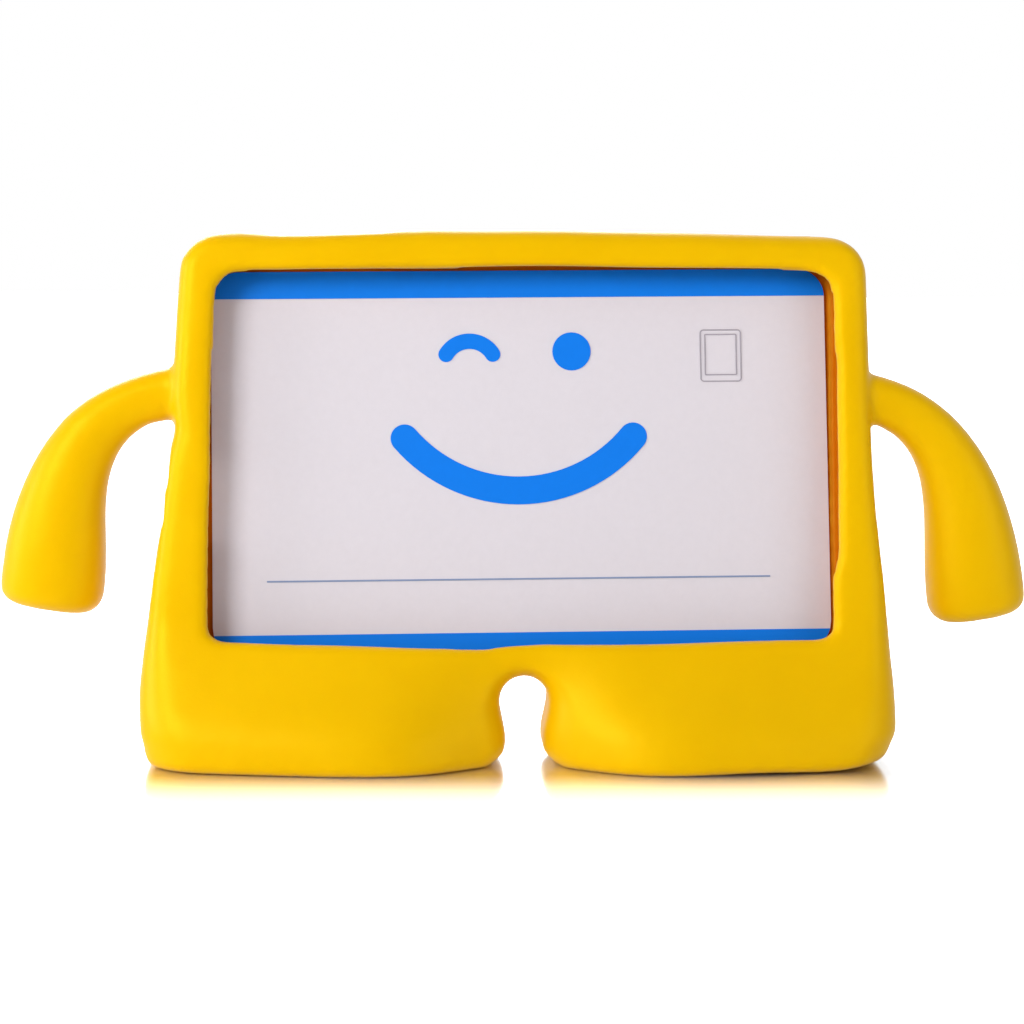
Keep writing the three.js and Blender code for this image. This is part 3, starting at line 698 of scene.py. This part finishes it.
# EVA foam, heat moulded: a closed skin with a satin shine, faintly pebbled where the cells lie
# under it, and coloured right through. The cells are 0.4 to 0.8 mm across, and the pebbles are drawn
# slightly coarser than that.
CLOUD_SIZE = 0.028
WAVE_SIZE = 0.009
PEBBLE_SIZE = 0.0009
WAVE_RELIEF = 0.0004
PEBBLE_RELIEF = 0.00012
FOAM_ROUGHNESS = (0.33, 0.41)
foam, tree = new_material("moulded_eva_foam")
place_node = add_node(tree, "ShaderNodeTexCoord")
on_object = place_node.outputs["Object"]
cloud = add_node(
    tree,
    "ShaderNodeTexNoise",
    {"Vector": on_object, "Scale": 1 / CLOUD_SIZE, "Detail": 2, "Roughness": 0.5},
)
tint = add_node(
    tree,
    "ShaderNodeMix",
    {0: cloud.outputs["Fac"], MIX_A: colour("#e4b001"), MIX_B: colour("#ebb902")},
    data_type="RGBA",
)
# Painted shade: the pocket walls get a deep orange colour. It stands in for the light thrown from
# foam to foam in the narrow pocket.
pocket_shade_node = add_node(tree, "ShaderNodeAttribute", attribute_name="pocket_shade")
with_painted_pocket_shade = add_node(
    tree,
    "ShaderNodeMix",
    {0: pocket_shade_node.outputs["Fac"], MIX_A: tint.outputs[MIX_RESULT], MIX_B: colour("#bd6002")},
    data_type="RGBA",
)
pebbles = add_node(
    tree,
    "ShaderNodeTexNoise",
    {"Vector": on_object, "Scale": 1 / PEBBLE_SIZE, "Detail": 3, "Roughness": 0.6},
)
waves = add_node(
    tree,
    "ShaderNodeTexNoise",
    {"Vector": on_object, "Scale": 1 / WAVE_SIZE, "Detail": 1, "Roughness": 0.5},
)
roughness = add_node(
    tree,
    "ShaderNodeMapRange",
    {
        "Value": cloud.outputs["Fac"],
        "From Min": 0.3,
        "From Max": 0.7,
        "To Min": FOAM_ROUGHNESS[0],
        "To Max": FOAM_ROUGHNESS[1],
    },
)
broad = add_node(
    tree,
    "ShaderNodeBump",
    {"Height": waves.outputs["Fac"], "Strength": 0.35, "Distance": WAVE_RELIEF},
)
fine = add_node(
    tree,
    "ShaderNodeBump",
    {
        "Height": pebbles.outputs["Fac"],
        "Strength": 0.35,
        "Distance": PEBBLE_RELIEF,
        "Normal": broad.outputs["Normal"],
    },
)
surface = add_node(
    tree,
    "ShaderNodeBsdfPrincipled",
    {
        "Base Color": with_painted_pocket_shade.outputs[MIX_RESULT],
        "Roughness": roughness.outputs["Result"],
        "Normal": fine.outputs["Normal"],
        "IOR": 1.45,
        "Specular IOR Level": 0.5,
        "Specular Tint": (1.0, 0.8, 0.05, 1.0),
        "Subsurface Weight": 0.12,
        "Subsurface Scale": 0.003,
        "Subsurface Radius": (1.0, 0.55, 0.1),
    },
)
add_node(tree, "ShaderNodeOutputMaterial", {"Surface": surface.outputs["BSDF"]})
foam_case.data.materials.clear()
foam_case.data.materials.append(foam)
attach(foam_case, "root")
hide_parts("case")


# The card that stands in the pocket: coated board, cut out and printed in flat blue. It is white
# with a faint grey mottle from the fibres below the coating, and slightly glossy.
MOTTLE_SIZE = 0.0025
FIBRE_RELIEF = 0.00005


def printed_board(name, code, darker_code, roughness_value, shine):
    material, tree = new_material(name)
    place_node = add_node(tree, "ShaderNodeTexCoord")
    fibres = add_node(
        tree,
        "ShaderNodeTexNoise",
        {
            "Vector": place_node.outputs["Object"],
            "Scale": 1 / MOTTLE_SIZE,
            "Detail": 4,
            "Roughness": 0.65,
        },
    )
    shade = add_node(
        tree,
        "ShaderNodeMix",
        {0: fibres.outputs["Fac"], MIX_A: colour(darker_code), MIX_B: colour(code)},
        data_type="RGBA",
    )
    relief = add_node(
        tree,
        "ShaderNodeBump",
        {"Height": fibres.outputs["Fac"], "Strength": 0.15, "Distance": FIBRE_RELIEF},
    )
    surface = add_node(
        tree,
        "ShaderNodeBsdfPrincipled",
        {
            "Base Color": shade.outputs[MIX_RESULT],
            "Roughness": roughness_value,
            "Normal": relief.outputs["Normal"],
            "IOR": 1.5,
            "Specular IOR Level": shine,
        },
    )
    add_node(tree, "ShaderNodeOutputMaterial", {"Surface": surface.outputs["BSDF"]})
    return material


coated_board = printed_board("coated_board", "#dad4db", "#d4ced5", 0.42, 0.5)
blue_print = printed_board("offset_ink_blue", "#067ae8", "#0475e1", 0.36, 0.2)
pale_print = printed_board("offset_ink_pale_blue", "#8796b8", "#7f8fb2", 0.4, 0.5)
grey_print = printed_board("offset_ink_grey", "#a79fa9", "#9f98a3", 0.4, 0.5)
PRINTS = {
    "display_card": coated_board,
    "top_band": blue_print,
    "bottom_band": blue_print,
    "smile": blue_print,
    "open_eye": blue_print,
    "winking_eye": blue_print,
    "ruled_line": pale_print,
    "tablet_outline": grey_print,
    "screen_outline": grey_print,
}
for node_name, material in PRINTS.items():
    for material_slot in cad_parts[node_name].material_slots:
        material_slot.material = material


# Studio: a glossy white table in a white room, with two softboxes on the left, a weak one on the
# right and one behind.
FLOOR_HALF = 3000
FEET_HALF = (0.107, 0.02, 0)
GLOW_STEEPNESS = (4, 1, 1)
GLOW_FROM = 0.003
GLOW_FULL_AT = 0.042
FULL_GLOW = 0.95
floor_mesh = bmesh.new()
bmesh.ops.create_grid(floor_mesh, x_segments=1, y_segments=1, size=FLOOR_HALF)
floor = as_object("floor", floor_mesh)
white_table, tree = new_material("glossy_white_laminate")
plain = add_node(
    tree,
    "ShaderNodeBsdfPrincipled",
    {"Base Color": colour("#f4f4f4"), "Roughness": 0.2, "IOR": 1.45},
)
mirror = add_node(
    tree,
    "ShaderNodeBsdfPrincipled",
    {"Base Color": colour("#ffffff"), "Roughness": 0.18, "Metallic": 0.88},
)
# Away from the feet the table is as bright as the room. Close to them it mirrors the foam, and its
# glow fades out there as a painted shade round the feet.
place_node = add_node(tree, "ShaderNodeTexCoord")
on_floor = add_node(
    tree, "ShaderNodeVectorMath", {0: place_node.outputs["Object"]}, operation="ABSOLUTE"
)
past_feet = add_node(
    tree, "ShaderNodeVectorMath", {0: on_floor.outputs[0], 1: FEET_HALF}, operation="SUBTRACT"
)
outside = add_node(
    tree, "ShaderNodeVectorMath", {0: past_feet.outputs[0], 1: (0, 0, 0)}, operation="MAXIMUM"
)
steeper_aside = add_node(
    tree, "ShaderNodeVectorMath", {0: outside.outputs[0], 1: GLOW_STEEPNESS}, operation="MULTIPLY"
)
away = add_node(tree, "ShaderNodeVectorMath", {0: steeper_aside.outputs[0]}, operation="LENGTH")
# Painted shade: the camera-only glow is nil next to the feet and full further out, so a darker halo
# stands in for their contact shadow.
glow_with_painted_shade = add_node(
    tree,
    "ShaderNodeMapRange",
    {
        "Value": away.outputs["Value"],
        "From Min": GLOW_FROM,
        "From Max": GLOW_FULL_AT,
        "To Max": FULL_GLOW,
    },
    interpolation_type="SMOOTHSTEP",
)
glow = add_node(
    tree, "ShaderNodeEmission", {"Color": (1, 1, 1, 1), "Strength": glow_with_painted_shade.outputs["Result"]}
)
both = add_node(tree, "ShaderNodeAddShader", {0: mirror.outputs["BSDF"], 1: glow.outputs["Emission"]})
path = add_node(tree, "ShaderNodeLightPath")
seen = add_node(
    tree,
    "ShaderNodeMixShader",
    {0: path.outputs["Is Camera Ray"], 1: plain.outputs["BSDF"], 2: both.outputs["Shader"]},
)
add_node(tree, "ShaderNodeOutputMaterial", {"Surface": seen.outputs["Shader"]})
floor.data.materials.append(white_table)

# The camera sees white all round. Reflections see the white backdrop behind the case and the dark
# half of the room in front of it.
DARK_HALF = 0.12
ROOM_LIGHT = 0.35
world = bpy.data.worlds.new("white_room")
bpy.context.scene.world = world
world.use_nodes = True
tree = world.node_tree
tree.nodes.clear()
path = add_node(tree, "ShaderNodeLightPath")
direction = add_node(tree, "ShaderNodeTexCoord")
parts = add_node(tree, "ShaderNodeSeparateXYZ", {"Vector": direction.outputs["Generated"]})
backdrop = add_node(
    tree,
    "ShaderNodeMapRange",
    {
        "Value": parts.outputs["Y"],
        "From Min": -0.2,
        "From Max": 0.4,
        "To Min": DARK_HALF,
        "To Max": 1,
    },
)
reflected = add_node(
    tree,
    "ShaderNodeBackground",
    {"Color": (1, 1, 1, 1), "Strength": backdrop.outputs["Result"]},
)
white = add_node(tree, "ShaderNodeBackground", {"Color": (1, 1, 1, 1), "Strength": 1})
room = add_node(tree, "ShaderNodeBackground", {"Color": (1, 1, 1, 1), "Strength": ROOM_LIGHT})
lit_or_reflected = add_node(
    tree,
    "ShaderNodeMixShader",
    {
        0: path.outputs["Is Glossy Ray"],
        1: room.outputs["Background"],
        2: reflected.outputs["Background"],
    },
)
seen = add_node(
    tree,
    "ShaderNodeMath",
    {0: path.outputs["Is Camera Ray"], 1: path.outputs["Is Transmission Ray"]},
    operation="MAXIMUM",
)
mixed = add_node(
    tree,
    "ShaderNodeMixShader",
    {
        0: seen.outputs["Value"],
        1: lit_or_reflected.outputs["Shader"],
        2: white.outputs["Background"],
    },
)
add_node(tree, "ShaderNodeOutputWorld", {"Surface": mixed.outputs["Shader"]})

# The softboxes: place and side length in metres, and power in watts.
LAMP_AIM = Vector((0, 0, 0.08))
SOFTBOXES = (
    ("key_softbox", (-0.78, -0.9, 0.62), 0.5, 10.3),
    ("side_softbox", (-1.3, -0.25, 0.4), 0.6, 7),
    ("fill_softbox", (0.95, -0.85, 0.35), 0.8, 3.8),
    ("back_softbox", (-0.2, 1.1, 0.7), 0.8, 11),
)
for name, at, size, power in SOFTBOXES:
    lamp = bpy.data.lights.new(name, "AREA")
    lamp.shape = "SQUARE"
    lamp.size = size
    lamp.energy = power
    lamp_object = bpy.data.objects.new(name, lamp)
    lamp_object.location = at
    lamp_object.rotation_euler = (Vector(at) - LAMP_AIM).to_track_quat("Z", "Y").to_euler()
    bpy.context.scene.collection.objects.link(lamp_object)
